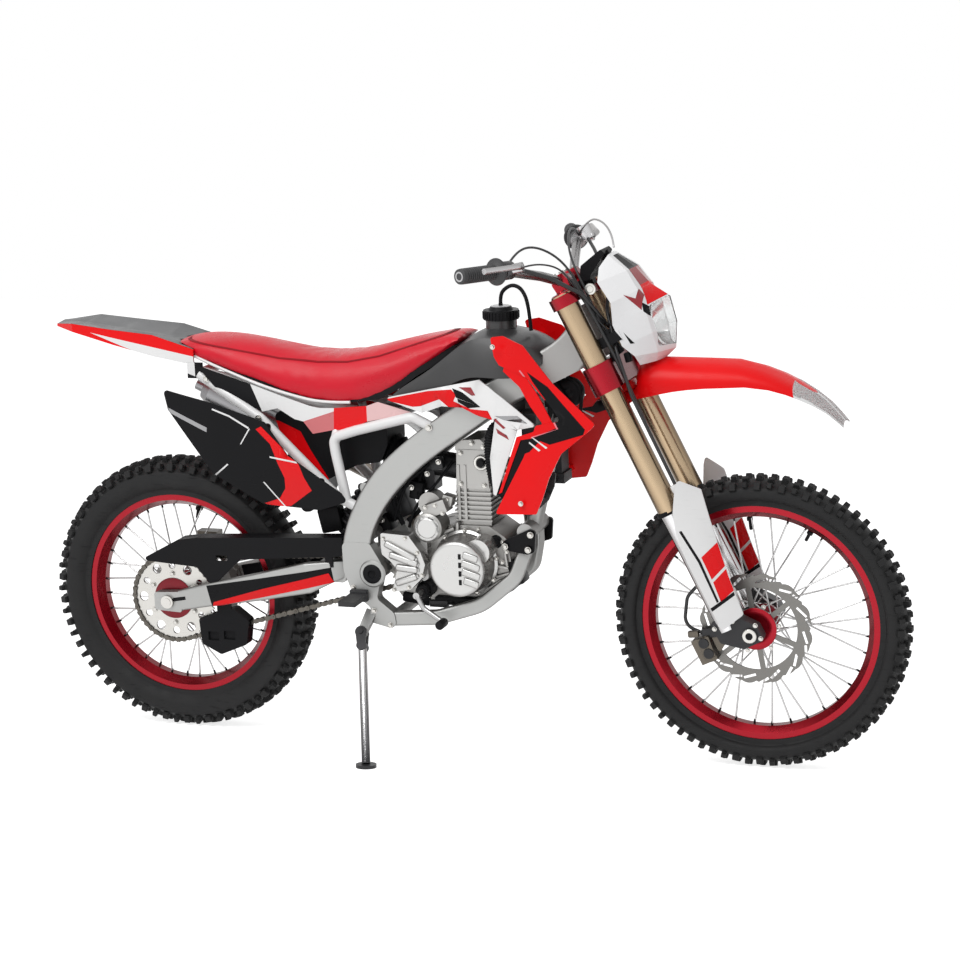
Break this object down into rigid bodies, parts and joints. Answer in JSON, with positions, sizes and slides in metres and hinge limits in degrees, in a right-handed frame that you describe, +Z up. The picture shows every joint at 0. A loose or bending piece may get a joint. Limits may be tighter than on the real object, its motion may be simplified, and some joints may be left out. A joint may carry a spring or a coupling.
{
  "type": "off-road motorcycle",
  "caption": "Motocross style motorcycle with headlight mask, wire wheels and knobby tyres, leaning on its side stand.",
  "frame": {"origin": "centre of the machine's box, on the ground", "axes": "+X forward, +Z up; the machine leans 7 degrees towards -Y on its side stand"},
  "size_m": [2.139, 0.8156, 1.2476],
  "materials": {
    "frame_silver": "satin silver",
    "steel": "satin",
    "black_steel": "satin black",
    "white_paint": "gloss white",
    "engine_silver": "cast, lightly polished",
    "alloy": "satin",
    "gold_alloy": "champagne anodised",
    "red_alloy": "red anodised",
    "dark_red_alloy": "dark red anodised",
    "chrome": "bright",
    "white_plastic": "gloss",
    "red_plastic": "gloss",
    "black_plastic": "satin",
    "grey_plastic": "satin",
    "lens": "clear",
    "seat_cover": "grained vinyl",
    "rubber": "matte",
    "tyre": "knobby",
    "chain_steel": "bronze tinted, oiled"
  },
  "bodies": {
    "chassis": {"airbox": "black_plastic", "carburettor": "black_plastic", "chain": "chain_steel", "chain_guards": "black_plastic", "coolant_hoses": "rubber", "cylinder_head": "engine_silver", "engine_case": "engine_silver", "engine_covers": "engine_silver", "engine_mounts": "black_steel", "exhaust_header": "steel", "foot_controls": "steel", "frame": "frame_silver", "front_sprocket": "steel", "fuel_tank": "grey_plastic", "radiators": "black_steel", "rear_axle": "steel", "rear_caliper": "alloy", "rear_fender": "red_plastic", "seat": "seat_cover", "shock": "black_steel", "shrouds": "red_plastic", "side_covers": "white_plastic", "side_panels": "black_plastic", "silencer": "alloy", "subframe": "white_paint", "swingarm": "alloy", "swingarm_pivot": "black_steel", "tank_cap": "black_plastic", "vent_hose": "rubber"},
    "steering": {"triple_clamps": "red_alloy", "fork_tubes": "gold_alloy", "fork_lowers": "chrome", "fork_guards": "white_plastic", "front_axle": "steel", "handlebar": "alloy", "grips": "rubber", "hand_levers": "alloy", "headlight_mask": "white_plastic", "headlamp_lens": "lens", "headlamp_bowl": "chrome", "front_fender": "red_plastic", "front_caliper": "alloy", "front_cables": "rubber", "instrument": "black_plastic"},
    "front_wheel": {"front_disc": "steel", "front_hub": "dark_red_alloy", "front_rim": "red_alloy", "front_spokes": "steel", "front_tyre": "tyre"},
    "rear_wheel": {"rear_disc": "steel", "rear_hub": "dark_red_alloy", "rear_rim": "red_alloy", "rear_spokes": "steel", "rear_sprocket": "steel", "rear_tyre": "tyre"},
    "stand": {"side_stand": "chrome"}
  },
  "joints": [
    {"name": "steering_turn", "type": "hinge", "parent": "chassis", "child": "steering", "pos_m": [0.35861, 0.0295, 0.93895], "axis": [-0.4384, -0.1095, 0.8921], "range_deg": [-40, 40]},
    {"name": "front_wheel_spin", "type": "hinge", "parent": "steering", "child": "front_wheel", "pos_m": [0.72494, 0.10269, 0.34289], "axis": [0, 0.9925, 0.1219], "continuous": true},
    {"name": "rear_wheel_spin", "type": "hinge", "parent": "chassis", "child": "rear_wheel", "pos_m": [-0.72745, 0.10292, 0.34099], "axis": [0, 0.9925, 0.1219], "continuous": true},
    {"name": "stand_fold", "type": "hinge", "parent": "chassis", "child": "stand", "pos_m": [-0.20139, -0.04337, 0.28519], "axis": [-0.0643, 0.8742, -0.4812], "range_deg": [0, 97.45]}
  ]
}
